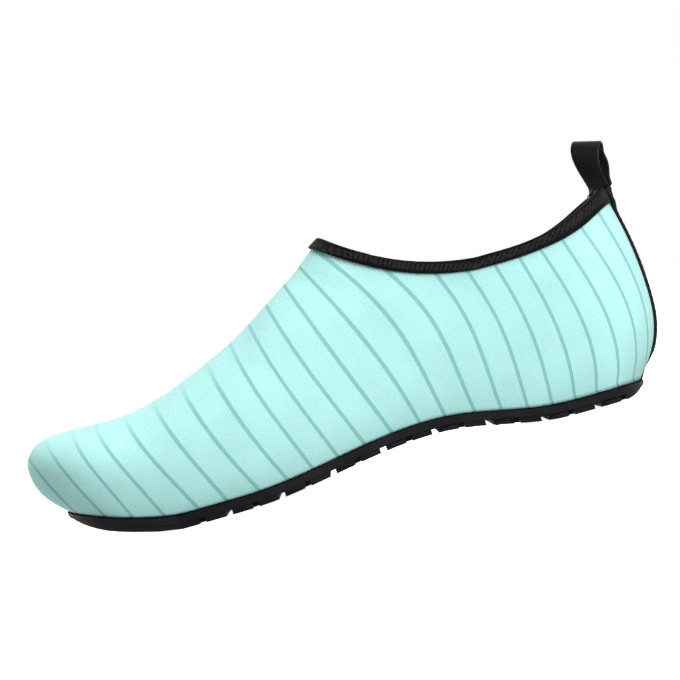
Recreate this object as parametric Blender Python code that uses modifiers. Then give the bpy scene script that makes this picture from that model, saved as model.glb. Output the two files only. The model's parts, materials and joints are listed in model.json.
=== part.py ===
"""Water shoe for the right foot: a thin knitted upper on a grooved rubber sole, with a bound collar and a
pull loop made from the ribbon that covers the back seam.

Metres, +Z up, toe towards +X, inner (big toe) side towards +Y, standing on Z = 0. While the pieces are worked
out, x runs from the heel's rearmost point towards the toe, and everything is centred at the end.
"""

import math

import bmesh
import bpy
from mathutils import Vector
from mathutils.bvhtree import BVHTree

# Main sizes of the last
SHOE_LENGTH = 0.258
BALL_WIDTH = 0.093
INSTEP_HEIGHT = 0.0945
COLLAR_LOW = 0.0691
HEEL_RISE = 0.0123
BULGE_RISE = 0.031

# Sole
HEEL_OVERHANG = 0.0130
TOE_OVERHANG = 0.0120
SIDE_OVERHANG = 0.0030
SOLE_RIM = 0.0030
LUG_HEIGHT = 0.0024
RIM_LEDGE = 0.0012
RIM_STEP = 0.0010
ARCH_RISE = 0.0080
TOE_SPRING = 0.0125
TOE_LIFT = 0.0012
HEEL_ROLL = 0.0034
TOE_ROLL = 0.0032
TREAD_PITCH = 0.0107
GROOVE_WIDTH = 0.0026
CHANNEL_WIDTH = 0.0024
NOTCH_LENGTH = 0.0110
BLIND_INSET = 0.0090

# Walls, tapes and clearance
WALL = 0.0016
INSOLE_THICKNESS = 0.0025
BINDING_HEIGHT = 0.0052
BINDING_THICKNESS = 0.0009
RIBBON_WIDTH = 0.0116
RIBBON_THICKNESS = 0.0009
RIBBON_TUCK = 0.0120
STEP_OVER = 0.0030
LOOP_HEIGHT = 0.0205
LOOP_AHEAD = -0.0008
LOOP_LEAN = 0.0012
LOOP_OPENING = 0.0072
LOOP_PINCH = 0.0016
LOOP_FOOT_TURN = math.radians(34)
LOOP_TURN = math.radians(70)
LOOP_TILT = math.radians(16)
GAP = 0.0003
WELD = 0.00002

# Slack between curved layers, in gaps, where their facets come closer than the surfaces do
BINDING_SLACK = 1.6
RIBBON_SLACK = 2.6
RIBBON_INNER_SLACK = 2
CREST_CLEARANCE = 1.6

# Places along the last, as shares of its length from the heel
HEEL_CENTRE = 0.124
TOE_CENTRE = 0.860
THROAT = 0.472
COLLAR_DIP = 0.217
ARCH_START, ARCH_PEAK, ARCH_END = 0.165, 0.385, 0.690
SPRING_START = 0.785
ROLL_START = 0.72
TREAD_START, BLIND_START = 0.090, 0.775
TOE_ROLL_REACH = 0.070
TIP_DROP = 0.20
TIP_SHARE = 0.045
TIP_START = 0.12
TOE_LIFT_START = 0.84
CHANNEL_SHARES = (0.34, 0.66)
LEG_SHARES = (1, 0.67, 0.33)
RIBBON_SHARES = (-0.5, -0.25, 0, 0.25, 0.5)
FOOT_SHARE = 0.08
SHOULDER_SHARE = 0.35
STEP_SHARE = 0.8
LATE_START = 0.45

END_FULLNESS = 2.2
SPINE_SOFTNESS = 0.080
LOWER_CURVE = 2.4
ARCH_CURVE = 2.05
COLLAR_CURVE = 2.2
HEEL_COLLAR_CURVE = 1.6
SPRING_CURVE = 1.35
QUARTER_SPACING = 1.7
VAMP_SPACING = 1.3
LATE_CURVE = 3
LOOP_TURN_CURVE = 2
LOOP_SPACING = 1.4

HEEL_STEPS, QUARTER_STEPS, VAMP_STEPS, TOE_STEPS = 9, 16, 13, 9
LOWER_ROWS, UPPER_ROWS = 4, 9
FORM_FINER = 3
HEEL_RUN_STEPS, OVER_STEPS, LOOP_STEPS, BEND_STEPS, TUCK_STEPS = 10, 6, 12, 7, 8

# Depths of the cuts in the tread, as shares of the lugs' height
GROOVE_DEPTH = 0.80
NOTCH_DEPTH = 0.95
CHANNEL_DEPTH = 0.75

# The last's sections. along: share of the length. middle, medial, lateral, ridge: shares of the ball width,
# for the centre line's shift, the two half widths beside it, and the crown's shift, all towards the inner
# side where positive. crown: share of the instep height. bulge: share of the bulge's rise above the sole.
# fullness: how square the section's shoulder is.
COLUMNS = ("along", "middle", "medial", "lateral", "ridge", "crown", "bulge", "fullness")
LAST = (
    (0.00, 0.000, 0.320, 0.325, 0.000, 1.60, 1.00, 0.75),
    (0.06, 0.000, 0.325, 0.330, 0.000, 1.60, 0.92, 1.20),
    (0.13, 0.000, 0.328, 0.335, 0.000, 1.60, 0.76, 1.60),
    (0.24, 0.000, 0.322, 0.345, 0.010, 1.57, 0.62, 1.90),
    (0.31, -0.004, 0.325, 0.368, 0.020, 1.42, 0.56, 1.90),
    (0.385, -0.010, 0.345, 0.405, 0.035, 1.180, 0.52, 1.82),
    (0.472, -0.016, 0.388, 0.445, 0.048, 1.000, 0.48, 1.78),
    (0.539, -0.018, 0.428, 0.472, 0.058, 0.865, 0.46, 1.85),
    (0.616, -0.016, 0.470, 0.492, 0.065, 0.730, 0.44, 1.98),
    (0.693, -0.008, 0.494, 0.496, 0.068, 0.627, 0.43, 2.10),
    (0.770, 0.010, 0.482, 0.476, 0.066, 0.546, 0.44, 2.20),
    (0.830, 0.030, 0.455, 0.440, 0.066, 0.511, 0.47, 2.40),
    (0.900, 0.052, 0.425, 0.385, 0.070, 0.514, 0.54, 2.85),
    (0.960, 0.068, 0.400, 0.340, 0.072, 0.516, 0.61, 3.80),
    (1.000, 0.074, 0.390, 0.325, 0.074, 0.518, 0.65, 5.40),
)

COLOURS = {
    "upper": ((0.50, 0.87, 0.81), 0.75),
    "outsole": ((0.020, 0.018, 0.022), 0.55),
    "insole": ((0.05, 0.05, 0.055), 0.85),
    "collar_binding": ((0.012, 0.012, 0.013), 0.70),
    "pull_loop": ((0.014, 0.014, 0.015), 0.65),
}


def between(low, high, share):
    return low + (high - low) * share


def eased(share):
    share = min(max(share, 0.0), 1.0)
    return share * share * (3 - 2 * share)


def last_value(column, x):
    """A column of the last's table at x, on a smooth curve through its rows."""
    at = min(max(x / SHOE_LENGTH, LAST[0][0]), LAST[-1][0])
    index = COLUMNS.index(column)
    row = max(i for i in range(len(LAST) - 1) if LAST[i][0] <= at)

    def slope(i):
        low, high = max(i - 1, 0), min(i + 1, len(LAST) - 1)
        return (LAST[high][index] - LAST[low][index]) / (LAST[high][0] - LAST[low][0])

    start, end = LAST[row], LAST[row + 1]
    span = end[0] - start[0]
    t = (at - start[0]) / span
    return (
        start[index] * (2 * t**3 - 3 * t**2 + 1)
        + slope(row) * span * (t**3 - 2 * t**2 + t)
        + end[index] * (3 * t**2 - 2 * t**3)
        + slope(row + 1) * span * (t**3 - t**2)
    )


def ground_line(x):
    """The sole's lift off the floor: none under heel and ball, some at the arch and the toe."""
    at = x / SHOE_LENGTH
    if at < ARCH_PEAK:
        arch = (at - ARCH_START) / (ARCH_PEAK - ARCH_START)
    else:
        arch = (ARCH_END - at) / (ARCH_END - ARCH_PEAK)
    arch = math.sin(min(max(arch, 0.0), 1.0) * math.pi / 2) ** 2
    toe_end = 1 - TOE_OVERHANG / SHOE_LENGTH
    spring = max(at - SPRING_START, 0.0) / (toe_end - SPRING_START)
    return ARCH_RISE * arch + TOE_SPRING * spring**SPRING_CURVE


def sole_bottom(x):
    """Height of the tread, which also rolls up at the heel's back and at the toe's front."""
    start = HEEL_CENTRE * SHOE_LENGTH * ROLL_START
    heel = max(start - x, 0.0) / (start - HEEL_OVERHANG)
    reach = TOE_ROLL_REACH * SHOE_LENGTH
    toe = max(x - (SHOE_LENGTH - TOE_OVERHANG - reach), 0.0) / reach
    return ground_line(x) + HEEL_ROLL * heel**2 + TOE_ROLL * toe**2


def tip_share(x):
    """1 along the sole, falling to 0 at the very ends, where the sole thins out."""
    toe_end = SHOE_LENGTH - TOE_OVERHANG
    heel_end = HEEL_OVERHANG
    near = min(toe_end - x, x - heel_end) / (SHOE_LENGTH * TIP_SHARE)
    return eased(between(TIP_START, 1, near))


def lug_height(x):
    return LUG_HEIGHT * tip_share(x)


def sole_top(x):
    """The seat of the upper, a rim above the lugs."""
    lift = LUG_HEIGHT * (1 - tip_share(x)) * TIP_DROP
    return ground_line(x) + LUG_HEIGHT + SOLE_RIM - lift


def collar_height(x):
    """Height of the upper's cut edge, low at the ankle, up to the throat in front and the heel behind."""
    dip, throat = COLLAR_DIP * SHOE_LENGTH, THROAT * SHOE_LENGTH
    if x > dip:
        rise = last_value("crown", throat) * INSTEP_HEIGHT - COLLAR_LOW
        return COLLAR_LOW + rise * min((x - dip) / (throat - dip), 1.0) ** COLLAR_CURVE
    return COLLAR_LOW + HEEL_RISE * eased((1 - x / dip) ** HEEL_COLLAR_CURVE)


def stations(finer=1):
    """Sections from heel to toe, as (centre, reach share, width share): round ends, straight sides."""
    heel, toe, throat = (s * SHOE_LENGTH for s in (HEEL_CENTRE, TOE_CENTRE, THROAT))
    power = 2 / END_FULLNESS
    found = []
    for i in range(HEEL_STEPS * finer):
        turn = math.pi / 2 * i / (HEEL_STEPS * finer)
        found.append((heel, -(math.cos(turn) ** power), math.sin(turn) ** power))
    for i in range(QUARTER_STEPS * finer):
        left = (1 - i / (QUARTER_STEPS * finer)) ** QUARTER_SPACING
        found.append((throat - (throat - heel) * left, 0.0, 1.0))
    for i in range(VAMP_STEPS * finer):
        share = (i / (VAMP_STEPS * finer)) ** VAMP_SPACING
        found.append((between(throat, toe, share), 0.0, 1.0))
    for i in range(TOE_STEPS * finer + 1):
        turn = math.pi / 2 * i / (TOE_STEPS * finer)
        width = 0.0 if i == TOE_STEPS * finer else math.cos(turn) ** power
        found.append((toe, math.sin(turn) ** power, width))
    return found


def plan_point(station, side, heel_in=0.0, toe_in=0.0, side_in=0.0):
    """A point of an outline seen from above, inside the last's widest outline by the amounts given."""
    centre, reach, width = station
    heel_reach = HEEL_CENTRE * SHOE_LENGTH
    toe_reach = (1 - TOE_CENTRE) * SHOE_LENGTH
    widest = centre + reach * (toe_reach if reach > 0 else heel_reach)
    x = centre + reach * (toe_reach - toe_in if reach > 0 else heel_reach - heel_in)
    half = last_value("medial" if side > 0 else "lateral", widest) * BALL_WIDTH
    middle = last_value("middle", widest) * BALL_WIDTH
    return Vector((x, middle + side * (half - side_in) * width, 0))


def spine_point(station, side):
    """Where a section's crown stands, softly held back from both ends."""
    x = plan_point(station, side).x
    heel, toe = HEEL_CENTRE * SHOE_LENGTH, TOE_CENTRE * SHOE_LENGTH
    soft = SPINE_SOFTNESS * SHOE_LENGTH
    x = (x + heel + math.hypot(x - heel, soft)) / 2
    x = (x + toe - math.hypot(x - toe, soft)) / 2
    return Vector((x, last_value("ridge", x) * BALL_WIDTH, 0))


def section(station, side, lower_rows, upper_rows):
    """One side of one section of the upper, from the sole's edge to the crown or to the collar."""
    foot = plan_point(station, side, HEEL_OVERHANG, TOE_OVERHANG, SIDE_OVERHANG)
    widest = plan_point(station, side)
    spine = spine_point(station, side)
    low = sole_top(foot.x) + GAP
    middle = low + last_value("bulge", widest.x) * BULGE_RISE
    crown = last_value("crown", spine.x) * INSTEP_HEIGHT
    fullness = last_value("fullness", widest.x)
    points = []
    for i in range(lower_rows):
        share = i / lower_rows
        out = 1 - (1 - share) ** LOWER_CURVE
        points.append(foot.lerp(widest, out) + Vector((0, 0, between(low, middle, share))))
    last_turn = math.pi / 2
    if station[0] < THROAT * SHOE_LENGTH:
        edge = (collar_height(widest.x) - middle) / (crown - middle)
        last_turn = math.asin(min(edge, 1.0) ** (ARCH_CURVE / 2))
    reached = last_turn / (math.pi / 2)
    late = 1 + LATE_CURVE * eased((reached - LATE_START) / LATE_START)
    for i in range(upper_rows + 1):
        share = i / upper_rows
        turn = math.pi / 2 * (share - (1 - reached) * share**late)
        up = math.sin(turn) ** (2 / ARCH_CURVE)
        out = max(math.cos(turn), 0.0) ** (2 / fullness) if turn < math.pi / 2 - 1e-6 else 0.0
        point = spine.lerp(widest, out) + Vector((0, 0, between(middle, crown, up)))
        toe = (point.x / SHOE_LENGTH - TOE_LIFT_START) / (1 - TOE_CENTRE)
        point.z += TOE_LIFT * eased(toe) * up
        points.append(point)
    return points


def add_grid(mesh, rows):
    """Quads between rows of points of equal length."""
    rings = [[mesh.verts.new(point) for point in row] for row in rows]
    for first, second in zip(rings, rings[1:]):
        for i in range(len(first) - 1):
            mesh.faces.new((first[i], first[i + 1], second[i + 1], second[i]))


def upper_surface(finer=1):
    """The outer face of the upper, open at the collar and underneath."""
    mesh = bmesh.new()
    for side in (1, -1):
        rows = [section(s, side, LOWER_ROWS * finer, UPPER_ROWS * finer) for s in stations(finer)]
        if side < 0:
            rows = [list(reversed(row)) for row in rows]
        add_grid(mesh, rows)
    bmesh.ops.remove_doubles(mesh, verts=mesh.verts, dist=WELD)
    bmesh.ops.dissolve_degenerate(mesh, edges=mesh.edges, dist=WELD)
    return mesh


def add_object(name, mesh, collection):
    data = bpy.data.meshes.new(name)
    mesh.to_mesh(data)
    mesh.free()
    made = bpy.data.objects.new(name, data)
    collection.objects.link(made)
    if name in COLOURS:
        colour, roughness = COLOURS[name]
        material = bpy.data.materials.new(name)
        material.use_nodes = True
        shader = material.node_tree.nodes["Principled BSDF"]
        shader.inputs["Base Color"].default_value = (*colour, 1)
        shader.inputs["Roughness"].default_value = roughness
        shader.inputs["Metallic"].default_value = 0.0
        data.materials.append(material)
    return made


def loft(rings, closed=False):
    """A solid through rings of points; ends that close to a line or a point are merged."""
    mesh = bmesh.new()
    made = [[mesh.verts.new(point) for point in ring] for ring in rings]
    pairs = list(zip(made, made[1:]))
    if closed:
        pairs.append((made[-1], made[0]))
    for first, second in pairs:
        for i in range(len(first)):
            j = (i + 1) % len(first)
            mesh.faces.new((first[i], first[j], second[j], second[i]))
    if not closed:
        mesh.faces.new(list(reversed(made[0])))
        mesh.faces.new(made[-1])
    bmesh.ops.remove_doubles(mesh, verts=mesh.verts, dist=WELD)
    bmesh.ops.dissolve_degenerate(mesh, edges=mesh.edges, dist=WELD)
    bmesh.ops.recalc_face_normals(mesh, faces=mesh.faces)
    return mesh


def plate(levels, finer=1):
    """A solid that follows the sole's outline. levels: (height function, inset) from one face to the other."""
    rings = []
    for station in stations(finer):
        ring = []
        for side, order in ((1, levels), (-1, list(reversed(levels)))):
            for height, inset in order:
                point = plan_point(
                    station, side, HEEL_OVERHANG + inset, TOE_OVERHANG + inset, SIDE_OVERHANG + inset
                )
                ring.append(Vector((point.x, point.y, height(point.x))))
        rings.append(ring)
    return loft(rings)


def make_upper(collection):
    upper = add_object("upper", upper_surface(), collection)
    wall = upper.modifiers.new("wall", "SOLIDIFY")
    wall.thickness = WALL
    wall.offset = -1
    wall.use_even_offset = True
    wall.use_quality_normals = True
    return upper


def make_insole(collection):
    inset = WALL + 2 * GAP

    def under(x):
        return sole_top(x) + GAP

    def over(x):
        return sole_top(x) + GAP + INSOLE_THICKNESS

    return add_object("insole", plate([(over, inset), (under, inset)]), collection)


def groove_cutter(name, x, half_width, depth, y_from, y_to, collection):
    """A bar across the tread that opens one groove between lugs."""
    mesh = bmesh.new()
    bmesh.ops.create_cube(mesh, size=1)
    slope = (sole_bottom(x + half_width) - sole_bottom(x - half_width)) / (2 * half_width)
    for vert in mesh.verts:
        along = 2 * half_width * vert.co.x
        vert.co = Vector(
            (
                x + along,
                between(y_from, y_to, vert.co.y + 0.5),
                sole_bottom(x) + slope * along + 2 * depth * vert.co.z,
            )
        )
    return hide(add_object(name, mesh, collection))


def channel_cutter(name, share, collection):
    """A long groove that runs with the sole's outline and splits the bars into lugs."""
    rings = []
    for station in stations():
        if station[1]:
            continue
        x = station[0]
        inner = plan_point(station, 1)
        outer = plan_point(station, -1)
        y = between(outer.y, inner.y, share)
        z, half = sole_bottom(x), CHANNEL_WIDTH / 2
        low, high = z - LUG_HEIGHT, z + LUG_HEIGHT * CHANNEL_DEPTH
        rings.append([Vector((x, y + a, b)) for a, b in ((-half, low), (half, low), (half, high), (-half, high))])
    return hide(add_object(name, loft(rings), collection))


def hide(cutter):
    cutter.display_type = "WIRE"
    cutter.hide_render = True
    return cutter


def cut(target, cutter):
    boolean = target.modifiers.new(cutter.name, "BOOLEAN")
    boolean.operation = "DIFFERENCE"
    boolean.solver = "EXACT"
    boolean.object = cutter


def make_outsole(collection, cutters):
    """A rim plate with a band of lugs set in below it, grooved across and along."""

    def rim_under(x):
        return sole_bottom(x) + lug_height(x)

    levels = [
        (sole_top, -RIM_LEDGE),
        (rim_under, -RIM_LEDGE),
        (rim_under, -RIM_LEDGE + RIM_STEP),
        (sole_bottom, -RIM_LEDGE + RIM_STEP),
    ]
    sole = add_object("outsole", plate(levels), collection)
    first = TREAD_START * SHOE_LENGTH
    last = SHOE_LENGTH - TOE_OVERHANG - TREAD_PITCH
    count = int((last - first) / TREAD_PITCH) + 1
    for i in range(count):
        x = first + i * TREAD_PITCH
        centre = last_value("middle", x) * BALL_WIDTH
        inner = centre + last_value("medial", x) * BALL_WIDTH
        outer = centre - last_value("lateral", x) * BALL_WIDTH
        half = GROOVE_WIDTH / 2
        blind = x > BLIND_START * SHOE_LENGTH
        if i % 2:
            # under the toe the grooves stop short of the sole's smooth edge
            inset = BLIND_INSET if blind else 0
            deep = LUG_HEIGHT * GROOVE_DEPTH
            cut(sole, groove_cutter(f"groove_{i}", x, half, deep, outer + inset, inner - inset, cutters))
        elif not blind:
            reach = SIDE_OVERHANG + NOTCH_LENGTH
            deep = LUG_HEIGHT * NOTCH_DEPTH
            cut(sole, groove_cutter(f"notch_in_{i}", x, half, deep, inner - reach, inner, cutters))
            cut(sole, groove_cutter(f"notch_out_{i}", x, half, deep, outer, outer + reach, cutters))
    for i, share in enumerate(CHANNEL_SHARES):
        cut(sole, channel_cutter(f"channel_{i}", share, cutters))
    return sole


class Form:
    """The upper's outer face as something to lay tapes on."""

    def __init__(self):
        mesh = upper_surface(FORM_FINER)
        mesh.normal_update()
        self.tree = BVHTree.FromBMesh(mesh)
        mesh.free()

    def lay(self, point, lift):
        """The point of the face nearest to the given one, and lifted off it."""
        where, normal, _, _ = self.tree.find_nearest(point)
        return where + normal * lift


def collar_loop():
    """The upper's cut edge, once round from the heel over the inner side and the throat."""
    around = [s for s in stations() if s[0] < THROAT * SHOE_LENGTH]
    inner = [section(s, 1, 1, 8)[-1] for s in around]
    outer = [section(s, -1, 1, 8)[-1] for s in around]
    throat = next(s for s in stations() if s[0] >= THROAT * SHOE_LENGTH)
    front = section(throat, 1, 1, 8)[-1]
    return inner + [front] + list(reversed(outer[1:]))


def binding_section(form, edge, along):
    """The tape's folded section at one point of the collar's edge: down the outside, and up the inside."""
    where, normal, _, _ = form.tree.find_nearest(edge)
    down = along.cross(normal).normalized()
    if down.z > 0:
        down = -down
    slack = BINDING_SLACK * GAP
    near_out, far_out = GAP, GAP + BINDING_THICKNESS
    near_in, far_in = -(WALL + slack), -(WALL + slack + BINDING_THICKNESS)

    def leg(lift):
        return [form.lay(edge + down * (BINDING_HEIGHT * share), lift) for share in LEG_SHARES]

    shoulder = BINDING_THICKNESS * SHOULDER_SHARE
    crest = edge - down * (GAP + BINDING_THICKNESS)
    outside = leg(far_out) + [where + normal * far_out, crest + normal * (far_out - shoulder)]
    inside = [crest + normal * (far_in + shoulder), where + normal * far_in] + leg(far_in)[::-1]
    lining = leg(near_in) + [edge - down * GAP + normal * near_in]
    cover = [edge - down * GAP + normal * near_out] + leg(near_out)[::-1]
    return outside + inside + lining + cover


def make_binding(form, collection):
    loop = collar_loop()
    rings = []
    for i, edge in enumerate(loop):
        along = (loop[(i + 1) % len(loop)] - loop[i - 1]).normalized()
        rings.append(binding_section(form, edge, along))
    return add_object("collar_binding", loft(rings, closed=True), collection)


def ribbon_step(centre, across, normal):
    """Five points across a flat stretch of ribbon, each with its normal."""
    return [(centre + across * (RIBBON_WIDTH * s), normal) for s in RIBBON_SHARES]


def laid_step(form, height, lift):
    """Five points across the ribbon where it lies on the heel, lift above or below the upper's face."""
    found = []
    edge = collar_height(0) - GAP
    for share in RIBBON_SHARES:
        start = Vector((-SHOE_LENGTH, share * RIBBON_WIDTH, min(height, edge)))
        where, normal, _, _ = form.tree.ray_cast(start, Vector((1, 0, 0)))
        if height > edge:
            where = Vector((where.x, where.y, height))
            normal = Vector((normal.x, normal.y, 0)).normalized()
        found.append((where + normal * lift, normal if lift > 0 else -normal))
    return found


def step_over(height):
    """How far the ribbon has climbed onto the binding, 0 on the cloth and 1 on the tape."""
    foot = collar_height(0) - BINDING_HEIGHT - STEP_OVER
    return eased((height - foot) / (STEP_SHARE * STEP_OVER))


def make_pull_loop(form, collection):
    """One ribbon: up the back seam, over the binding, a quarter turn into the loop, and tucked inside."""
    half = RIBBON_THICKNESS / 2
    edge = collar_height(0)
    crest = edge + CREST_CLEARANCE * GAP + BINDING_THICKNESS
    on_cloth = GAP + half
    on_binding = RIBBON_SLACK * GAP + BINDING_THICKNESS + half
    bottom = sole_top(HEEL_OVERHANG) + GAP + 2 * RIBBON_THICKNESS
    foot_of_step = edge - BINDING_HEIGHT - STEP_OVER
    heights = [between(bottom, foot_of_step, i / HEEL_RUN_STEPS) for i in range(HEEL_RUN_STEPS)]
    heights += [between(foot_of_step, crest, i / OVER_STEPS) for i in range(OVER_STEPS + 1)]
    steps = [laid_step(form, z, between(on_cloth, on_binding, step_over(z))) for z in heights]
    outer_foot = steps[-1][2][0]
    inner_on_binding = on_binding + RIBBON_INNER_SLACK * GAP
    inner_foot = laid_step(form, crest, -(WALL + inner_on_binding))[2][0]
    foot = (outer_foot + inner_foot) / 2
    foot_apart = (inner_foot - outer_foot).length / 2
    top_apart = (LOOP_OPENING + RIBBON_THICKNESS) / 2
    rise = LOOP_HEIGHT - top_apart - half

    def frame_at(share):
        risen = eased(share / FOOT_SHARE)
        turn = LOOP_FOOT_TURN * risen + (LOOP_TURN - LOOP_FOOT_TURN) * share**LOOP_TURN_CURVE
        tilt = LOOP_TILT * eased(share)
        ahead = Vector((math.cos(tilt), 0, math.sin(tilt)))
        upward = Vector((-math.sin(tilt), 0, math.cos(tilt)))
        side = Vector((0, 1, 0))
        width = side * math.cos(turn) - ahead * math.sin(turn)
        apart = ahead * math.cos(turn) + side * math.sin(turn)
        centre = foot + Vector((LOOP_AHEAD * risen + LOOP_LEAN * share, 0, rise * share))
        spread = between(foot_apart, between(LOOP_PINCH / 2, top_apart, eased(share)), risen)
        return centre, width, apart, upward, spread

    shares = [(i / LOOP_STEPS) ** LOOP_SPACING for i in range(1, LOOP_STEPS + 1)]
    for share in shares:
        centre, width, apart, _, spread = frame_at(share)
        steps.append(ribbon_step(centre - apart * spread, width, -apart))
    centre, width, apart, upward, spread = frame_at(1.0)
    for i in range(1, BEND_STEPS):
        turn = math.pi * i / BEND_STEPS
        normal = upward * math.sin(turn) - apart * math.cos(turn)
        steps.append(ribbon_step(centre + normal * spread, width, normal))
    for share in reversed(shares):
        centre, width, apart, _, spread = frame_at(share)
        steps.append(ribbon_step(centre + apart * spread, width, apart))
    for i in range(TUCK_STEPS + 1):
        height = between(crest, edge - RIBBON_TUCK, i / TUCK_STEPS)
        lift = between(on_cloth, inner_on_binding, step_over(height))
        steps.append(laid_step(form, height, -(WALL + lift)))
    rings = []
    for step in steps:
        front = [point + normal * half for point, normal in step]
        rear = [point - normal * half for point, normal in reversed(step)]
        rings.append(front + rear)
    return add_object("pull_loop", loft(rings), collection)


def centre_on_floor(objects):
    """Moves every mesh so that the shoe's box is centred over the origin and stands on the floor."""
    points = [vert.co for made in objects for vert in made.data.vertices if not made.hide_render]
    lows = [min(point[axis] for point in points) for axis in range(3)]
    highs = [max(point[axis] for point in points) for axis in range(3)]
    shift = Vector((-(lows[0] + highs[0]) / 2, -(lows[1] + highs[1]) / 2, 0))
    for made in objects:
        for vert in made.data.vertices:
            vert.co += shift


def shade(made, angle=40):
    made.data.shade_smooth()
    made.data.set_sharp_from_angle(angle=math.radians(angle))


def main():
    for old in list(bpy.data.objects):
        bpy.data.objects.remove(old, do_unlink=True)
    scene = bpy.context.scene.collection
    shoe = bpy.data.collections.new("water_shoe")
    cutters = bpy.data.collections.new("cutters")
    scene.children.link(shoe)
    scene.children.link(cutters)
    form = Form()
    make_upper(shoe)
    make_outsole(shoe, cutters)
    make_insole(shoe)
    make_binding(form, shoe)
    make_pull_loop(form, shoe)
    centre_on_floor(list(shoe.objects) + list(cutters.objects))
    for made in shoe.objects:
        shade(made)


main()
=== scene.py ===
# Water shoe for the right foot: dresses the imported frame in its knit, tape, ribbon, foam and rubber.
import json
import math
import bmesh
import bpy
import numpy as np
from mathutils import Matrix, Vector
from mathutils.bvhtree import BVHTree

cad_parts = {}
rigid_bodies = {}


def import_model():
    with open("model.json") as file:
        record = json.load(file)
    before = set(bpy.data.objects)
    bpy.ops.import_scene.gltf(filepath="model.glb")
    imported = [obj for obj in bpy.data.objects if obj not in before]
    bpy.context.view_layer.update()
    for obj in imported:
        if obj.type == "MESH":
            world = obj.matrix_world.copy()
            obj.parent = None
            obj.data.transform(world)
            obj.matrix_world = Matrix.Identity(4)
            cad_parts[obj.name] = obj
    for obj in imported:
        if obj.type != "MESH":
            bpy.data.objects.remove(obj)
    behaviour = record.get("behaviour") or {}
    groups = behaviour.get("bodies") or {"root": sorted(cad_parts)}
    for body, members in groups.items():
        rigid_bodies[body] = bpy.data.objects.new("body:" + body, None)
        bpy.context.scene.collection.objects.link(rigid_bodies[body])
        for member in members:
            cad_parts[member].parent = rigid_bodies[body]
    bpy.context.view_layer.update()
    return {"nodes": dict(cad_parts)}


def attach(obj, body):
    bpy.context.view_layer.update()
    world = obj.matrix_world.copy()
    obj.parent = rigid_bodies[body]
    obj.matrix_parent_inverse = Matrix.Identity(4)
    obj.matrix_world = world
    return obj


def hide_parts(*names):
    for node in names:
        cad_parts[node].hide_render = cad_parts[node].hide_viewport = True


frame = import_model()
mm = 0.001
shownPieces = bpy.context.scene.collection.objects


def linearColour(hexText, share=1.0):
    parts = [int(hexText[i:i + 2], 16) / 255 for i in (1, 3, 5)]
    linear = [p / 12.92 if p <= 0.04045 else ((p + 0.055) / 1.055) ** 2.4 for p in parts]
    return [p * share for p in linear] + [1]


def eased(share):
    share = np.clip(share, 0, 1)
    return share * share * (3 - 2 * share)


def addNode(material, kind, inputs=None, take=0, **settings):
    # one node with its settings; an input is a plain value or the socket that feeds it
    node = material.node_tree.nodes.new("ShaderNode" + kind)
    for name, value in settings.items():
        setattr(node, name, value)
    for name, value in (inputs or {}).items():
        if isinstance(value, bpy.types.NodeSocket):
            material.node_tree.links.new(value, node.inputs[name])
        else:
            node.inputs[name].default_value = value
    return node.outputs[take]


def startMaterial(name, shaderInputs):
    material = bpy.data.materials.new(name)
    material.use_nodes = True
    shader = material.node_tree.nodes["Principled BSDF"]
    for socket, value in shaderInputs.items():
        shader.inputs[socket].default_value = value
    return material


def feedShader(material, sockets):
    shader = material.node_tree.nodes["Principled BSDF"]
    for name, socket in sockets.items():
        material.node_tree.links.new(socket, shader.inputs[name])
    return material


def mergedCopy(node):
    # the frame's mesh is loose triangles: weld them and pair them back into quads
    mesh = bmesh.new()
    mesh.from_mesh(frame["nodes"][node].data)
    bmesh.ops.remove_doubles(mesh, verts=mesh.verts, dist=0.01 * mm)
    bmesh.ops.join_triangles(
        mesh, faces=mesh.faces, angle_face_threshold=math.radians(35), angle_shape_threshold=math.radians(50)
    )
    return mesh


def creaseSharpEdges(mesh, angle, crease):
    layer = mesh.edges.layers.float.new("crease_edge")
    for edge in mesh.edges:
        if edge.is_manifold and edge.calc_face_angle() > math.radians(angle):
            edge[layer] = crease


def subdividedMesh(mesh, levels):
    data = bpy.data.meshes.new("work")
    mesh.to_mesh(data)
    mesh.free()
    work = bpy.data.objects.new("work", data)
    shownPieces.link(work)
    subdivision = work.modifiers.new("subdivision", "SUBSURF")
    subdivision.levels = subdivision.render_levels = levels
    evaluated = work.evaluated_get(bpy.context.evaluated_depsgraph_get())
    done = bpy.data.meshes.new_from_object(evaluated)
    bpy.data.objects.remove(work)
    bpy.data.meshes.remove(data)
    return done


def addPiece(name, data, materials, replaced=None):
    # a shown piece of the shoe, at the origin, with its place in its mesh
    data.name = name
    data.materials.clear()
    for material in materials:
        data.materials.append(material)
    piece = bpy.data.objects.new(name, data)
    shownPieces.link(piece)
    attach(piece, "root")
    if replaced:
        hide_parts(replaced)
    data.shade_smooth()
    data.calc_loop_triangles()
    print(f"{name}: {len(data.loop_triangles)} triangles before its modifiers")
    return piece


def vertexPlaces(data):
    places = np.zeros(len(data.vertices) * 3)
    data.vertices.foreach_get("co", places)
    return places.reshape(-1, 3)


def vertexNormals(data):
    normals = np.zeros(len(data.vertices) * 3)
    data.vertices.foreach_get("normal", normals)
    return normals.reshape(-1, 3)


def movePlaces(data, places):
    data.vertices.foreach_set("co", places.ravel().astype(np.float32))
    data.update()


def addValues(data, name, values):
    # one number at each vertex, which a material reads by its name
    layer = data.attributes.new(name, "FLOAT", "POINT")
    layer.data.foreach_set("value", values.astype(np.float32))


def faceTree(data):
    # something to lay stitches and ribs on
    return BVHTree.FromPolygons([v.co for v in data.vertices], [list(f.vertices) for f in data.polygons])


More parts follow.
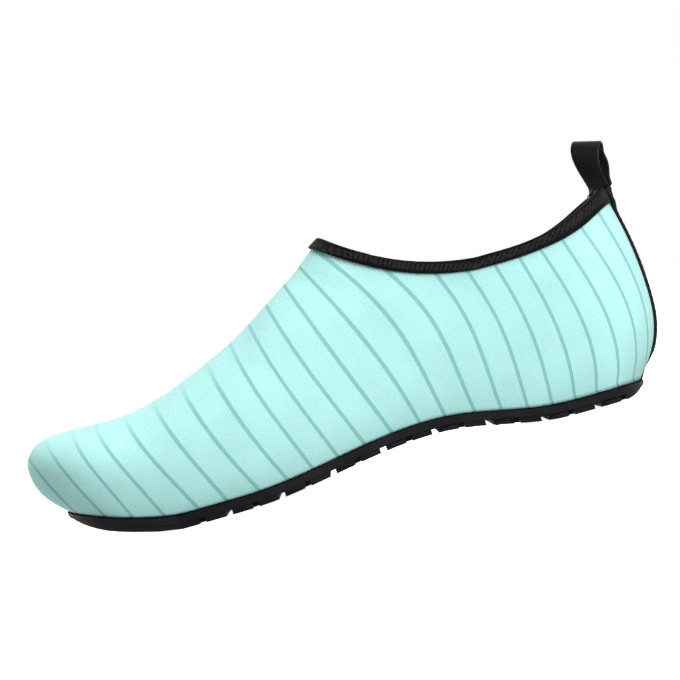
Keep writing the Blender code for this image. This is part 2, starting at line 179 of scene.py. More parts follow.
def addWeaveMap(data, along, across):
    # a UV map in millimetres, so that a weave keeps its real size and follows the surface
    corners = np.zeros(len(data.loops), dtype=np.int32)
    data.loops.foreach_get("vertex_index", corners)
    layer = data.uv_layers.new(name="weave")
    layer.data.foreach_set("uv", np.stack([along[corners], across[corners]], 1).ravel().astype(np.float32))


knitUpper = {
    "levels": 2,
    "rimAngle": 50,              # degrees; edges sharper than this stay crisp
    "rimCrease": 0.85,
    "uneven": Vector((98 * mm, 4 * mm, 47.5 * mm)),    # where the toe's narrow faces meet on the crest
    "unevenReach": 12 * mm,
    "evenings": 4,
    "coreHeight": 26 * mm,       # height of the line that runs inside the foot
    "coreHeel": -92 * mm,
    "coreToe": 88 * mm,
    "heelRadius": 34 * mm,
    "toeRadius": 40 * mm,
    "girthRadius": 44 * mm,
    "footZ": 8 * mm,             # the stripes' lower ends
    "mint": "#BBF4F0",
    "stripe": "#8ACBC6",
    "back": "#DCEBE8",           # the unprinted back of the cloth, seen inside the shoe
    "stripeHalf": 0.066,         # share of the pitch
    "stripeSoft": 0.016,
    "ragged": 0.03,              # how much the cloth's fuzz eats into the stripes' edges
    "beyond": 0.15,              # how far the stripes run on past the sole and the collar
    "leastGap": 0.1,             # mm between two stripes
    "fadeFrom": 0.72,            # painted highlight: the stripes pale towards the forefoot's crest: shares of the crest's height
    "fadeTo": 1.02,
    "fadeHeel": 8 * mm,          # full stripes behind this, paled by the painted highlight in front of it
    "fadeToe": 50 * mm,
    "paintedHighlightPaling": 0.85,
    "walePitch": 0.80,           # mm; real wales are about 0.5, drawn coarser so that they show
    "coursePitch": 0.66,
    "coarse": 60.0,              # the mottle's and the fuzz's scales, per metre
    "fine": 1100.0,
}

# The crest of the instep and forefoot in metres, behind to front: x, z
crestChart = ((-0.010, 0.088), (0.020, 0.076), (0.050, 0.059), (0.075, 0.050), (0.130, 0.047))

# The printed stripes from toe to heel, seen from the side, in mm: where each meets the sole, where it meets
# the instep's crest or the collar, how far it bows forward in between, and at what share of its height.
stripeChart = (
    # foot x, top x, top z, bow, bow at
    (108.7, 125.5, 40.1, 0.2, 0.5),
    (99.7, 118.0, 46.6, 0.7, 0.6),
    (91.2, 107.1, 48.4, 1.0, 0.7),
    (80.4, 97.7, 47.8, 0.8, 0.7),
    (67.2, 86.0, 48.4, 1.1, 0.6),
    (55.8, 73.6, 50.8, 0.9, 0.6),
    (42.5, 61.5, 54.7, 1.5, 0.5),
    (30.5, 49.3, 59.7, 1.5, 0.5),
    (19.5, 38.1, 64.4, 1.4, 0.6),
    (8.2, 28.9, 69.3, 1.3, 0.6),
    (-3.8, 20.3, 75.3, 1.2, 0.6),
    (-15.9, 11.2, 81.0, 0.4, 0.6),
    (-26.6, 3.0, 85.3, -3.4, 0.45),
    (-37.2, -4.8, 90.0, -7.2, 0.58),
    (-48.4, -29.1, 75.0, -5.1, 0.62),
    (-57.9, -47.0, 69.7, -3.4, 0.6),
    (-67.9, -59.2, 67.2, -3.2, 0.55),
    (-77.4, -70.3, 66.6, -3.0, 0.5),
    (-86.7, -80.5, 66.3, -3.4, 0.45),
    (-95.5, -89.4, 66.3, -4.8, 0.42),
    (-104.2, -98.7, 67.6, -5.5, 0.4),
    (-111.4, -107.6, 69.6, -7.0, 0.42),
    (-116.0, -116.3, 73.1, -7.4, 0.42),
)

# Soft troughs (negative) and ridges (positive) of the slack knit, placed on the side view, in mm:
# start x and z, end x and z, depth, half width. Each runs on past its ends by one share of its length and
# eases in over another.
creaseRunOn = 0.35
creaseEase = 0.5
softCreases = (
    (6.0, 84.0, -14.0, 66.0, -0.55, 6.0),
    (22.0, 72.0, 4.0, 56.0, 0.35, 7.0),
    (38.0, 62.0, 20.0, 40.0, -0.35, 7.0),
    (-24.0, 60.0, -44.0, 40.0, 0.35, 8.0),
    (-70.0, 58.0, -92.0, 44.0, -0.30, 8.0),
    (92.0, 18.0, 64.0, 16.0, -0.30, 5.0),
)


def stripePhase(places):
    # the number of the stripe at each point, counted from the toe, with parts between two stripes
    x, z = places[:, 0] / mm, places[:, 2] / mm
    footZ = knitUpper["footZ"] / mm
    lines = []
    for footX, topX, topZ, bow, bowAt in stripeChart:
        share = np.clip((z - footZ) / (topZ - footZ), -knitUpper["beyond"], 1 + knitUpper["beyond"])
        inside = np.clip(share, 0, 1) ** (math.log(0.5) / math.log(bowAt))
        lines.append(footX + (topX - footX) * share + bow * np.sin(math.pi * inside))
    gaps = [np.maximum(line - after, knitUpper["leastGap"]) for line, after in zip(lines, lines[1:])]
    phase = np.where(x > lines[0], np.maximum((lines[0] - x) / gaps[0], -0.5), 0.0)
    for i, gap in enumerate(gaps):
        between = (x <= lines[i]) & (x > lines[i + 1])
        phase = np.where(between, i + (lines[i] - x) / gap, phase)
    return np.where(x <= lines[-1], len(gaps) + np.minimum((lines[-1] - x) / gaps[-1], 0.5), phase)


def stripesPaledByPaintedHighlight(places):
    # 1 where the stripes are full, less towards the crest in front, where a painted highlight pales them
    share = places[:, 2] / np.interp(places[:, 0], *zip(*crestChart))
    paintedHighlightPaling = eased((share - knitUpper["fadeFrom"]) / (knitUpper["fadeTo"] - knitUpper["fadeFrom"]))
    forward = eased((places[:, 0] - knitUpper["fadeHeel"]) / (knitUpper["fadeToe"] - knitUpper["fadeHeel"]))
    return 1 - knitUpper["paintedHighlightPaling"] * paintedHighlightPaling * forward


def fromCore(places):
    # each point's direction away from the line that runs inside the foot
    core = places.copy()
    core[:, 0] = np.clip(places[:, 0], knitUpper["coreHeel"], knitUpper["coreToe"])
    core[:, 1] = 0
    core[:, 2] = knitUpper["coreHeight"]
    return places - core


def knitMap(places):
    # round the heel and toe along the plan, and up the girth
    away = fromCore(places)
    x = np.clip(places[:, 0], knitUpper["coreHeel"], knitUpper["coreToe"])
    turn = np.arctan2(np.abs(away[:, 0]), np.abs(away[:, 1]))
    radius = np.where(places[:, 0] > 0, knitUpper["toeRadius"], knitUpper["heelRadius"])
    along = x + np.sign(places[:, 0]) * turn * radius
    level = np.hypot(away[:, 0], away[:, 1])
    girth = np.arctan2(away[:, 2], level) * knitUpper["girthRadius"]
    return along / mm, girth / mm


def pressCreases(data):
    places, normals = vertexPlaces(data), vertexNormals(data)
    outward = np.sign(np.sum(normals * fromCore(places), axis=1))
    x, z = places[:, 0] / mm, places[:, 2] / mm
    shift = np.zeros(len(places))
    for startX, startZ, endX, endZ, depth, halfWidth in softCreases:
        runX, runZ = endX - startX, endZ - startZ
        length = math.hypot(runX, runZ)
        share = ((x - startX) * runX + (z - startZ) * runZ) / length**2
        beside = np.abs((x - startX) * runZ - (z - startZ) * runX) / length
        fade = eased(np.minimum(share + creaseRunOn, 1 + creaseRunOn - share) / creaseEase)
        shift += depth * mm * fade * np.exp(-((beside / halfWidth) ** 2))
    movePlaces(data, places + normals * (shift * outward)[:, None])


def makePrintedKnit(printed=True):
    # Interlock knit of polyester and elastane, printed on its face: matt, with fine columns of loops that
    # break the light into a soft grain.
    name = "printed_interlock_knit" if printed else "interlock_knit_back"
    material = startMaterial(name, {
        "Roughness": 0.85, "Specular IOR Level": 0.22, "Sheen Weight": 0.08, "Sheen Roughness": 0.5,
    })
    weave = addNode(material, "UVMap", uv_map="weave")
    place = addNode(material, "TexCoord", take="Object")
    # a wave repeats each 2 pi / 20 of its vector, so this gives the pitches in mm
    wales = addNode(material, "TexWave", {
        "Vector": weave, "Scale": math.pi / 10 / knitUpper["walePitch"], "Distortion": 1.6, "Detail": 2.0,
        "Detail Scale": 0.9,
    }, take="Fac", bands_direction="X")
    courses = addNode(material, "TexWave", {
        "Vector": weave, "Scale": math.pi / 10 / knitUpper["coursePitch"], "Distortion": 1.4, "Detail": 2.0,
        "Detail Scale": 1.1,
    }, take="Fac", bands_direction="Y")
    loops = addNode(material, "Math", {0: courses, 1: 0.75, 2: wales}, operation="MULTIPLY_ADD")
    mottle = addNode(material, "TexNoise", {"Vector": place, "Scale": knitUpper["coarse"], "Detail": 4.0})
    fuzz = addNode(material, "TexNoise", {"Vector": place, "Scale": knitUpper["fine"], "Detail": 2.0})
    height = addNode(material, "Math", {0: fuzz, 1: 0.9, 2: loops}, operation="MULTIPLY_ADD")
    bump = addNode(material, "Bump", {"Strength": 0.50, "Distance": 0.10 * mm, "Height": height})
    grain = addNode(material, "Math", {0: height, 1: 0.34, 2: mottle}, operation="MULTIPLY_ADD")
    share = addNode(material, "MapRange", {"Value": grain, "From Min": 0.55, "From Max": 1.45})
    ground = knitUpper["mint"] if printed else knitUpper["back"]
    colour = addNode(material, "Mix", {
        0: share, 6: linearColour(ground, 0.85), 7: linearColour(ground, 1.03),
    }, take=2, data_type="RGBA")
    if printed:
        phase = addNode(material, "Attribute", take="Fac", attribute_name="stripe")
        moved = addNode(material, "Math", {0: phase, 1: 0.5}, operation="ADD")
        part = addNode(material, "Math", {0: moved}, operation="FRACT")
        beside = addNode(material, "Math", {0: part, 1: 0.5}, operation="SUBTRACT")
        apart = addNode(material, "Math", {0: beside}, operation="ABSOLUTE")
        ragged = addNode(material, "Math", {
            0: fuzz, 1: knitUpper["ragged"], 2: apart,
        }, operation="MULTIPLY_ADD")
        half, soft = knitUpper["stripeHalf"] + knitUpper["ragged"] / 2, knitUpper["stripeSoft"]
        mask = addNode(material, "MapRange", {
            "Value": ragged, "From Min": half - soft, "From Max": half + soft, "To Min": 1.0, "To Max": 0.0,
        }, interpolation_type="SMOOTHSTEP")
        # painted highlight: the stripes pale towards the forefoot's crest
        printUnderPaintedHighlight = addNode(material, "Attribute", take="Fac", attribute_name="printUnderPaintedHighlight")
        mask = addNode(material, "Math", {0: mask, 1: printUnderPaintedHighlight}, operation="MULTIPLY")
        inked = addNode(material, "Mix", {
            0: share, 6: linearColour(knitUpper["stripe"], 0.90), 7: linearColour(knitUpper["stripe"], 1.02),
        }, take=2, data_type="RGBA")
        colour = addNode(material, "Mix", {0: mask, 6: colour, 7: inked}, take=2, data_type="RGBA")
    return feedShader(material, {"Base Color": colour, "Normal": bump})


def makeUpper():
    mesh = mergedCopy("upper")
    uneven = [v for v in mesh.verts if (v.co - knitUpper["uneven"]).length < knitUpper["unevenReach"]]
    for _ in range(knitUpper["evenings"]):
        bmesh.ops.smooth_vert(
            mesh, verts=uneven, factor=0.5, use_axis_x=True, use_axis_y=True, use_axis_z=True
        )
    creaseSharpEdges(mesh, knitUpper["rimAngle"], knitUpper["rimCrease"])
    data = subdividedMesh(mesh, knitUpper["levels"])
    pressCreases(data)
    places = vertexPlaces(data)
    along, girth = knitMap(places)
    addWeaveMap(data, along, girth)
    addValues(data, "stripe", stripePhase(places))
    # the painted highlight that pales the stripes on the forefoot's crest
    addValues(data, "printUnderPaintedHighlight", stripesPaledByPaintedHighlight(places))
    addPiece("upper_knit", data, [makePrintedKnit(), makePrintedKnit(False)], "upper")
    centres = np.array([face.center for face in data.polygons])
    facing = np.array([face.normal for face in data.polygons])
    inner = np.sum(facing * fromCore(centres), axis=1) < 0
    data.polygons.foreach_set("material_index", inner.astype(np.int32))


makeUpper()
print("upper done")


rubberSole = {
    "black": "#0C0A0D",
    "worn": "#19171B",
    "flatAngle": 1.0,            # degrees; faces that differ less are made one
    "edge": 0.5 * mm,
    "edgeSegments": 3,
    "edgeAngle": 35,
    "smoothAngle": 40,
    "grain": 0.5 * mm,
    "sipePitch": 3.2 * mm,       # fine straight cuts across the tread
    "firstGroove": -105.2 * mm,  # from the heel
    "groovePitch": 10.7 * mm,
    "ribbedLugs": 16,            # towards the toe the side is smooth
    "ribLength": 6.6 * mm,
    "ribProud": 0.9 * mm,
    "ribHeight": 1.5 * mm,
    "ribLevel": 1.1 * mm,        # above the lug's lower face
    "ribTaper": 0.82,            # its face's length, as a share of its foot's
    "ribEdge": 0.2 * mm,
    "probeIn": 20 * mm,          # where a ray from below meets the lugs
    "probeFar": 90 * mm,         # well outside the sole
    "archStart": -8 * mm,        # behind it the ribs are level ledges, before it they are slanted faces
}


def makeSoleRubber():
    # Injection moulded thermoplastic rubber with a spark eroded grain: nearly black, satin, and a little
    # paler where it is worn.
    material = startMaterial("moulded_black_rubber", {"Roughness": 0.50, "Specular IOR Level": 0.085})
    place = addNode(material, "TexCoord", take="Object")
    grain = addNode(material, "TexNoise", {"Vector": place, "Scale": 1 / rubberSole["grain"], "Detail": 3.0})
    cloud = addNode(material, "TexNoise", {"Vector": place, "Scale": 60.0, "Detail": 4.0})
    sipes = addNode(material, "TexWave", {
        "Vector": place, "Scale": math.pi / 10 / rubberSole["sipePitch"], "Distortion": 0.0,
    }, take="Fac", bands_direction="X")
    facing = addNode(material, "NewGeometry", take="Normal")
    upDown = addNode(material, "SeparateXYZ", {0: facing}, take=2)
    under = addNode(material, "MapRange", {"Value": upDown, "From Min": -0.9, "From Max": -0.97})
    cut = addNode(material, "MapRange", {"Value": sipes, "From Min": 0.03, "From Max": 0.10})
    solid = addNode(material, "Math", {0: under, 1: cut}, operation="MULTIPLY")
    height = addNode(material, "Math", {0: solid, 1: 4.0, 2: grain}, operation="MULTIPLY_ADD")
    patches = addNode(material, "MapRange", {"Value": cloud, "From Min": 0.38, "From Max": 0.62})
    colour = addNode(material, "Mix", {
        0: patches, 6: linearColour(rubberSole["black"]), 7: linearColour(rubberSole["worn"]),
    }, take=2, data_type="RGBA")
    rough = addNode(material, "MapRange", {"Value": cloud, "To Min": 0.42, "To Max": 0.62})
    bump = addNode(material, "Bump", {"Strength": 0.50, "Distance": 0.09 * mm, "Height": height})
    return feedShader(material, {"Base Color": colour, "Roughness": rough, "Normal": bump})


def addLugRibs(data, material):
    # the low ribs moulded on the sides of every second lug
    tree = faceTree(data)
    mesh = bmesh.new()
    for i in range(0, rubberSole["ribbedLugs"], 2):
        x = rubberSole["firstGroove"] + (i + 0.5) * rubberSole["groovePitch"]
        for side in (1, -1):
            below = Vector((x, side * rubberSole["probeIn"], -rubberSole["probeFar"]))
            level = tree.ray_cast(below, Vector((0, 0, 1)))[0].z + rubberSole["ribLevel"]
            outside = Vector((x, side * rubberSole["probeFar"], level))
            wall, normal = tree.ray_cast(outside, Vector((0, -side, 0)))[:2]
            outward = Vector((normal.x, normal.y, 0)).normalized()
            along = outward.cross(Vector((0, 0, 1)))
            made = bmesh.ops.create_cube(mesh, size=1)["verts"]
            for vert in made:
                if vert.co.z > 0 and x > rubberSole["archStart"]:
                    vert.co.y = -0.5
                if vert.co.y > 0:
                    vert.co.x *= rubberSole["ribTaper"]
            size = (rubberSole["ribLength"], 2 * rubberSole["ribProud"], rubberSole["ribHeight"])
            bmesh.ops.scale(mesh, verts=made, vec=size)
            turned = Matrix((along, outward, Vector((0, 0, 1)))).transposed().to_4x4()
            bmesh.ops.transform(mesh, matrix=Matrix.Translation(wall) @ turned, verts=made)
    bmesh.ops.bevel(
        mesh, geom=mesh.edges, offset=rubberSole["ribEdge"], segments=2, profile=0.5, affect="EDGES",
        material=-1,
    )
    bmesh.ops.recalc_face_normals(mesh, faces=mesh.faces)
    ribs = bpy.data.meshes.new("ribs")
    mesh.to_mesh(ribs)
    mesh.free()
    addPiece("sole_side_ribs", ribs, [material])


def makeSole():
    mesh = mergedCopy("outsole")
    bmesh.ops.dissolve_limit(
        mesh, angle_limit=math.radians(rubberSole["flatAngle"]), verts=mesh.verts, edges=mesh.edges,
        use_dissolve_boundaries=False,
    )
    data = bpy.data.meshes.new("sole")
    mesh.to_mesh(data)
    mesh.free()
    rubber = makeSoleRubber()
    piece = addPiece("sole_rubber_moulding", data, [rubber], "outsole")
    bevel = piece.modifiers.new("soft_edges", "BEVEL")
    bevel.width = rubberSole["edge"]
    bevel.segments = rubberSole["edgeSegments"]
    bevel.limit_method = "ANGLE"
    bevel.angle_limit = math.radians(rubberSole["edgeAngle"])
    data.set_sharp_from_angle(angle=math.radians(rubberSole["smoothAngle"]))
    addLugRibs(data, rubber)


makeSole()
print("sole done")


footbed = {
    "cover": "#303236",
    "hole": "#0C0C0D",
    "holePitch": 7 * mm,
    "thread": 0.4 * mm,
    "levels": 2,
    "edgeAngle": 50,             # degrees; edges sharper than this stay crisp
    "edgeCrease": 0.7,
}


def makeFootbedFoam():
    # EVA foam under a thin grey polyester jersey, punched with small holes: soft, dull and even.
    material = startMaterial("covered_eva_foam", {
        "Roughness": 0.9, "Specular IOR Level": 0.25, "Sheen Weight": 0.15,
    })
    place = addNode(material, "TexCoord", take="Object")
    grain = addNode(material, "TexNoise", {"Vector": place, "Scale": 1 / footbed["thread"], "Detail": 2.0})
    holes = addNode(material, "TexVoronoi", {
        "Vector": place, "Scale": 1 / footbed["holePitch"], "Randomness": 0.0,
    })
    mask = addNode(material, "MapRange", {"Value": holes, "From Min": 0.12, "From Max": 0.16})
    colour = addNode(material, "Mix", {
        0: mask, 6: linearColour(footbed["hole"]), 7: linearColour(footbed["cover"]),
    }, take=2, data_type="RGBA")
    height = addNode(material, "Math", {0: grain, 1: 0.3, 2: mask}, operation="MULTIPLY_ADD")
    bump = addNode(material, "Bump", {"Strength": 0.5, "Distance": 0.4 * mm, "Height": height})
    return feedShader(material, {"Base Color": colour, "Normal": bump})


def makeFootbed():
    mesh = mergedCopy("insole")
    creaseSharpEdges(mesh, footbed["edgeAngle"], footbed["edgeCrease"])
    data = subdividedMesh(mesh, footbed["levels"])
    addPiece("footbed", data, [makeFootbedFoam()], "insole")


makeFootbed()
print("footbed done")


stitching = {
    "thread": "#1A1A1C",
    "gloss": 0.42,
    "width": 0.42 * mm,
    "proud": 0.10 * mm,
}


def makeSewingThread():
    # Spun polyester thread, a shade lighter than the tapes: its twist gives each stitch a small dull light.
    material = startMaterial("polyester_sewing_thread", {
        "Roughness": stitching["gloss"], "Specular IOR Level": 0.20,
    })
    place = addNode(material, "TexCoord", take="Object")
    twist = addNode(material, "TexNoise", {"Vector": place, "Scale": 2500.0, "Detail": 1.0})
    colour = addNode(material, "Mix", {
        0: twist, 6: linearColour(stitching["thread"], 0.6), 7: linearColour(stitching["thread"], 1.3),
    }, take=2, data_type="RGBA")
    bump = addNode(material, "Bump", {"Strength": 0.5, "Distance": 0.05 * mm, "Height": twist})
    return feedShader(material, {"Base Color": colour, "Normal": bump})


sewingThread = makeSewingThread()


def sewStitches(name, stitches):
    # each stitch: its middle on the cloth, the cloth's normal there, its direction and its length
    mesh = bmesh.new()
    for middle, normal, run, length in stitches:
        run = (run - normal * run.dot(normal)).normalized()
        turned = Matrix((run, normal.cross(run), normal)).transposed().to_4x4()
        size = Matrix.Diagonal((length / 2, stitching["width"] / 2, stitching["proud"], 1))
        bmesh.ops.create_uvsphere(
            mesh, u_segments=6, v_segments=4, radius=1, matrix=Matrix.Translation(middle) @ turned @ size
        )
    bmesh.ops.recalc_face_normals(mesh, faces=mesh.faces)
    data = bpy.data.meshes.new(name)
    mesh.to_mesh(data)
    mesh.free()
    addPiece(name, data, [sewingThread])


collarTape = {
    "black": "#030303",
    "grey": "#282728",
    "rib": 1.1 * mm,
    "middle": (-64 * mm, 0),     # of the collar, seen from above
    "roundSteps": 360,
    "roundSmoothings": 6,
    "outerFrom": 0.2,            # how far a vertex has to face outwards to count as the outer face
    "lapRise": 1.6 * mm,         # the tape's ends lap under the loop
    "lapStart": -116 * mm,
    "lapOver": 5 * mm,
    "lapDown": 4 * mm,
    "stitchPitch": 1.6 * mm,
    "stitchLength": 1.7 * mm,
    "stitchSlant": math.radians(38),
    "stitchDown": 2.5 * mm,      # below the fold
    "levels": 2,
    "height": 5.2 * mm,          # at the heel
    "slim": 0.80,                # the height beside the ankle, as a share of it
    "slimFrom": -112 * mm,
    "slimOver": 30 * mm,
}


def makeElasticTape():
    # Knitted black elastic, folded over the edge: fine slanting ribs with a dull shine.
    material = startMaterial("folded_black_elastic", {
        "Roughness": 0.62, "Specular IOR Level": 0.07,
    })
    place = addNode(material, "TexCoord", take="Object")
    slanted = addNode(material, "TexWave", {
        "Vector": place, "Scale": math.pi / 10 / collarTape["rib"], "Distortion": 0.8, "Detail": 1.0,
        "Detail Scale": 1.0,
    }, take="Fac", bands_direction="DIAGONAL")
    grain = addNode(material, "TexNoise", {"Vector": place, "Scale": 1200.0, "Detail": 2.0})
    height = addNode(material, "Math", {0: slanted, 1: 0.25, 2: grain}, operation="MULTIPLY_ADD")
    share = addNode(material, "MapRange", {"Value": height, "From Min": 0.45, "From Max": 0.80})
    # the ribs' grey shows only in the middle, and both edges stay black: a painted shade line along the
    # lower edge, and black along the fold
    down = addNode(material, "Attribute", take="Fac", attribute_name="down")
    # painted shade line along the tape's lower edge
    lower = addNode(material, "MapRange", {"Value": down, "From Min": 0.90, "From Max": 0.74})
    upper = addNode(material, "MapRange", {"Value": down, "From Min": 0.10, "From Max": 0.26})
    middle = addNode(material, "Math", {0: lower, 1: upper}, operation="MULTIPLY")
    share = addNode(material, "Math", {0: share, 1: middle}, operation="MULTIPLY")
    colour = addNode(material, "Mix", {
        0: share, 6: linearColour(collarTape["black"]), 7: linearColour(collarTape["grey"]),
    }, take=2, data_type="RGBA")
    bump = addNode(material, "Bump", {"Strength": 0.8, "Distance": 0.2 * mm, "Height": height})
    return feedShader(material, {"Base Color": colour, "Normal": bump})


def collarRound(data, down):
    # points once round the tape's outer face, the given depth below its fold
    places, normals = vertexPlaces(data), vertexNormals(data)
    away = places[:, :2] - collarTape["middle"]
    away /= np.linalg.norm(away, axis=1)[:, None]
    outer = np.sum(normals[:, :2] * away, axis=1) > collarTape["outerFrom"]
    turn = np.arctan2(away[:, 1], away[:, 0])
    steps = collarTape["roundSteps"]
    found = []
    for i in range(steps):
        middle = -math.pi + 2 * math.pi * (i + 0.5) / steps
        near = outer & (np.abs((turn - middle + math.pi) % (2 * math.pi) - math.pi) < 2 * math.pi / steps)
        if near.any():
            found.append((*places[near][:, :2].mean(0), places[near][:, 2].max()))
    line = np.array(found)
    for _ in range(collarTape["roundSmoothings"]):
        line = (np.roll(line, 1, 0) + 2 * line + np.roll(line, -1, 0)) / 4
    line[:, 2] -= down
    return line


def evenSteps(line, pitch):
    # the same closed line, cut into even steps
    closed = np.vstack([line, line[:1]])
    lengths = np.r_[0, np.cumsum(np.linalg.norm(np.diff(closed, axis=0), axis=1))]
    at = np.linspace(0, lengths[-1], int(lengths[-1] / pitch) + 1)
    return np.stack([np.interp(at, lengths, closed[:, axis]) for axis in range(3)], 1)


def makeCollarTape():
    data = subdividedMesh(mergedCopy("collar_binding"), collarTape["levels"])
    places = vertexPlaces(data)
    fold = collarRound(data, 0)
    beside = ((places[:, None, :2] - fold[None, :, :2]) ** 2).sum(2)
    foldHeight = fold[beside.argmin(1), 2]
    below = foldHeight - places[:, 2]
    addValues(data, "down", below / collarTape["height"])
    slimmed = eased((places[:, 0] - collarTape["slimFrom"]) / collarTape["slimOver"])
    places[:, 2] = foldHeight - below * (1 - (1 - collarTape["slim"]) * slimmed)
    foldTop = places[places[:, 0] < collarTape["lapStart"]][:, 2].max()
    lap = eased((collarTape["lapStart"] - places[:, 0]) / collarTape["lapOver"])
    up = eased(1 - (foldTop - places[:, 2]) / collarTape["lapDown"])
    places[:, 2] += collarTape["lapRise"] * lap * up
    movePlaces(data, places)
    addPiece("collar_tape", data, [makeElasticTape()], "collar_binding")
    tree = faceTree(data)
    line = evenSteps(collarRound(data, collarTape["stitchDown"]), collarTape["stitchPitch"])
    stitches = []
    for here, after in zip(line, line[1:]):
        middle, normal = tree.find_nearest(Vector(here))[:2]
        run = (Vector(after) - Vector(here)).normalized()
        slant = collarTape["stitchSlant"]
        run = run * math.cos(slant) + normal.cross(run) * math.sin(slant)
        stitches.append((middle, normal, run, collarTape["stitchLength"]))
    sewStitches("collar_stitches", stitches)


makeCollarTape()
print("collar tape done")


ribbon = {
    "black": "#050506",
    "grey": "#1B1B1D",
    "rib": 0.9 * mm,
    "stitchIn": 3.7 * mm,        # each row's distance from the middle
    "stitchFrom": 12 * mm,
    "stitchTo": 80.5 * mm,
    "stitchPitch": 2.6 * mm,
    "stitchLength": 2.0 * mm,
    "tackHeights": (75.0 * mm, 81.0 * mm),
    "tackPitch": 1.5 * mm,
    "tackRun": Vector((0, 1, 0.6)),
    "behind": -200 * mm,         # where the rays that find the ribbon start
    "levels": 2,
    "edgeAngle": 60,             # degrees; edges sharper than this stay crisp
    "edgeCrease": 0.6,
    "pressed": 1.0 * mm,         # the inner face goes into the cloth, so that no light shows between them
    "neckHeight": 82 * mm,       # where the loop starts, the outer face is filled out
    "neckReach": 2.4 * mm,
    "neckBehind": -123 * mm,
    "neckFill": 1.1 * mm,
    "sink": 1.9 * mm,            # the lower end sinks into the cloth
    "sinkFrom": 17 * mm,
    "sinkOver": 10 * mm,
    "tuck": 1.4 * mm,            # and goes behind the sole's rim
    "tuckFrom": 9.5 * mm,
    "tuckOver": 3.0 * mm,
}


def makeWovenRibbon():
    # Woven polyester ribbon with fine cross ribs: black with a soft, slightly clouded grey shine.
    material = startMaterial("woven_black_ribbon", {
        "Roughness": 0.5, "Specular IOR Level": 0.11,
    })
    place = addNode(material, "TexCoord", take="Object")
    ribs = addNode(material, "TexWave", {
        "Vector": place, "Scale": math.pi / 10 / ribbon["rib"], "Distortion": 0.4, "Detail": 1.0,
    }, take="Fac", bands_direction="Z")
    grain = addNode(material, "TexNoise", {"Vector": place, "Scale": 1400.0, "Detail": 2.0})
    cloud = addNode(material, "TexNoise", {"Vector": place, "Scale": 220.0, "Detail": 3.0})
    height = addNode(material, "Math", {0: ribs, 1: 0.5, 2: grain}, operation="MULTIPLY_ADD")
    tone = addNode(material, "Math", {0: height, 1: 0.4, 2: cloud}, operation="MULTIPLY_ADD")
    share = addNode(material, "MapRange", {"Value": tone, "From Min": 0.55, "From Max": 1.15})
    colour = addNode(material, "Mix", {
        0: share, 6: linearColour(ribbon["black"]), 7: linearColour(ribbon["grey"]),
    }, take=2, data_type="RGBA")
    bump = addNode(material, "Bump", {"Strength": 0.4, "Distance": 0.1 * mm, "Height": height})
    return feedShader(material, {"Base Color": colour, "Normal": bump})


def makeHeelRibbon():
    mesh = mergedCopy("pull_loop")
    creaseSharpEdges(mesh, ribbon["edgeAngle"], ribbon["edgeCrease"])
    data = subdividedMesh(mesh, ribbon["levels"])
    places, normals = vertexPlaces(data), vertexNormals(data)
    height, facing = places[:, 2].copy(), normals[:, 0]
    pressed = np.clip(facing, 0, 1) * (height < ribbon["neckHeight"])
    neck = np.exp(-(((height - ribbon["neckHeight"]) / ribbon["neckReach"]) ** 2))
    neck *= np.clip(-facing, 0, 1) * (places[:, 0] < ribbon["neckBehind"])
    places[:, 0] += ribbon["pressed"] * pressed - ribbon["neckFill"] * neck
    places[:, 0] += ribbon["sink"] * eased((ribbon["sinkFrom"] - height) / ribbon["sinkOver"])
    places[:, 2] -= ribbon["tuck"] * eased((ribbon["tuckFrom"] - height) / ribbon["tuckOver"])
    movePlaces(data, places)
    addPiece("heel_ribbon", data, [makeWovenRibbon()], "pull_loop")
    tree = faceTree(data)
    spots = []
    rows = int((ribbon["stitchTo"] - ribbon["stitchFrom"]) / ribbon["stitchPitch"])
    for i in range(rows + 1):
        z = ribbon["stitchFrom"] + i * ribbon["stitchPitch"]
        spots += [(side * ribbon["stitchIn"], z, Vector((0, 0, 1))) for side in (1, -1)]
    across = int(2 * ribbon["stitchIn"] / ribbon["tackPitch"])
    for z in ribbon["tackHeights"]:
        for i in range(1, across):
            spots.append((ribbon["stitchIn"] * (2 * i / across - 1), z, ribbon["tackRun"]))
    stitches = []
    for y, z, run in spots:
        middle, normal = tree.ray_cast(Vector((ribbon["behind"], y, z)), Vector((1, 0, 0)))[:2]
        if middle:
            stitches.append((middle, normal, run, ribbon["stitchLength"]))
    sewStitches("heel_stitches", stitches)


makeHeelRibbon()
print("ribbon done")


studio = {
    "roll": math.radians(16),          # the photo's shoe is rolled heel up
    "aim": Vector((-4.3 * mm, 0, 53.6 * mm)),
    "distance": 1.2,
    "seenWidth": 273 * mm,
    "sensor": 36.0,
    "floor": "#F6F6F6",
    "floorSize": 6,
    "floorGlow": 0.97,                 # keeps the shadow as faint as the photo's
    "ambient": 0.47,
    "softboxPlace": Vector((-0.30, 0.45, 0.25)),    # near the heel: the light falls off towards the toe
    "softboxSize": 0.35,
    "softboxPower": 2.15,
    "top": ((-0.30, 0.05, 1.0), 1.30, 60),    # towards the lamp, strength, softness in degrees
    "fill": ((0.30, -0.80, 0.45), 1.2, 80),
}


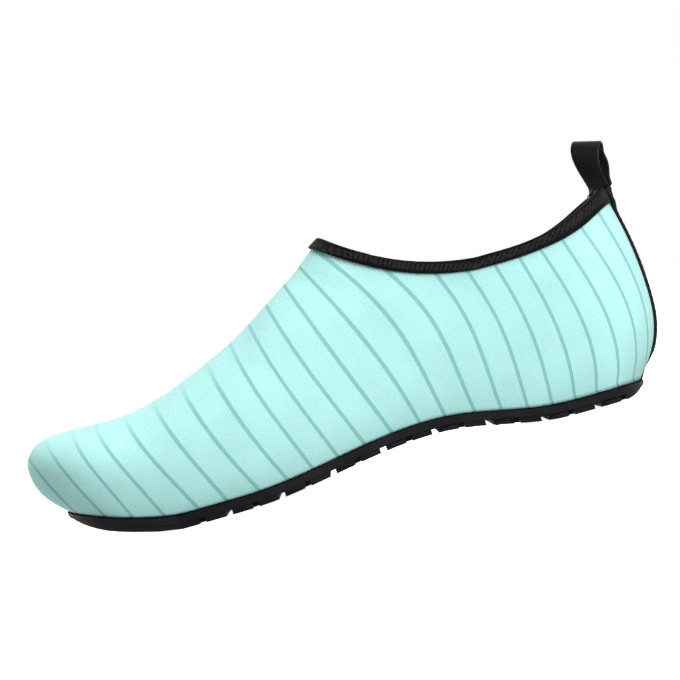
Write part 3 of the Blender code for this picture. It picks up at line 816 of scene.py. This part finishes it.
def makeStudio():
    world = bpy.data.worlds.new("studio")
    world.use_nodes = True
    # the backdrop is plain white, and lights the shoe less than it shows
    background = world.node_tree.nodes["Background"]
    background.inputs["Color"].default_value = (1, 1, 1, 1)
    lightPath = world.node_tree.nodes.new("ShaderNodeLightPath")
    strength = world.node_tree.nodes.new("ShaderNodeMapRange")
    strength.inputs["To Min"].default_value = studio["ambient"]
    strength.inputs["To Max"].default_value = 1.0
    world.node_tree.links.new(lightPath.outputs["Is Camera Ray"], strength.inputs["Value"])
    world.node_tree.links.new(strength.outputs[0], background.inputs["Strength"])
    bpy.context.scene.world = world
    bpy.context.scene.view_settings.view_transform = "Standard"

    mesh = bmesh.new()
    bmesh.ops.create_grid(mesh, x_segments=1, y_segments=1, size=studio["floorSize"])
    data = bpy.data.meshes.new("floor")
    mesh.to_mesh(data)
    mesh.free()
    data.materials.append(startMaterial("pale_floor", {
        "Base Color": linearColour(studio["floor"]), "Roughness": 0.9, "Specular IOR Level": 0.1,
        "Emission Color": (1, 1, 1, 1), "Emission Strength": studio["floorGlow"],
    }))
    floor = bpy.data.objects.new("floor", data)
    floor.visible_diffuse = False
    shownPieces.link(floor)

    softbox = bpy.data.lights.new("main_softbox", "AREA")
    softbox.energy = studio["softboxPower"]
    softbox.size = studio["softboxSize"]
    main = bpy.data.objects.new("main_softbox", softbox)
    main.location = studio["softboxPlace"]
    main.rotation_euler = studio["softboxPlace"].to_track_quat("Z", "Y").to_euler()
    shownPieces.link(main)
    for name in ("top", "fill"):
        towards, strength, softness = studio[name]
        lamp = bpy.data.lights.new(name + "_softbox", "SUN")
        lamp.energy = strength
        lamp.angle = math.radians(softness)
        made = bpy.data.objects.new(name + "_softbox", lamp)
        made.rotation_euler = Vector(towards).to_track_quat("Z", "Y").to_euler()
        shownPieces.link(made)

    lens = bpy.data.cameras.new("camera")
    lens.sensor_width = studio["sensor"]
    lens.lens = studio["sensor"] * studio["distance"] / studio["seenWidth"]
    camera = bpy.data.objects.new("camera", lens)
    roll = studio["roll"]
    right = Vector((-math.cos(roll), 0, -math.sin(roll)))
    up = Vector((-math.sin(roll), 0, math.cos(roll)))
    back = Vector((0, 1, 0))
    turned = Matrix((right, up, back)).transposed()
    camera.matrix_world = Matrix.Translation(studio["aim"] + back * studio["distance"]) @ turned.to_4x4()
    shownPieces.link(camera)
    bpy.context.scene.camera = camera


makeStudio()
print("studio done")
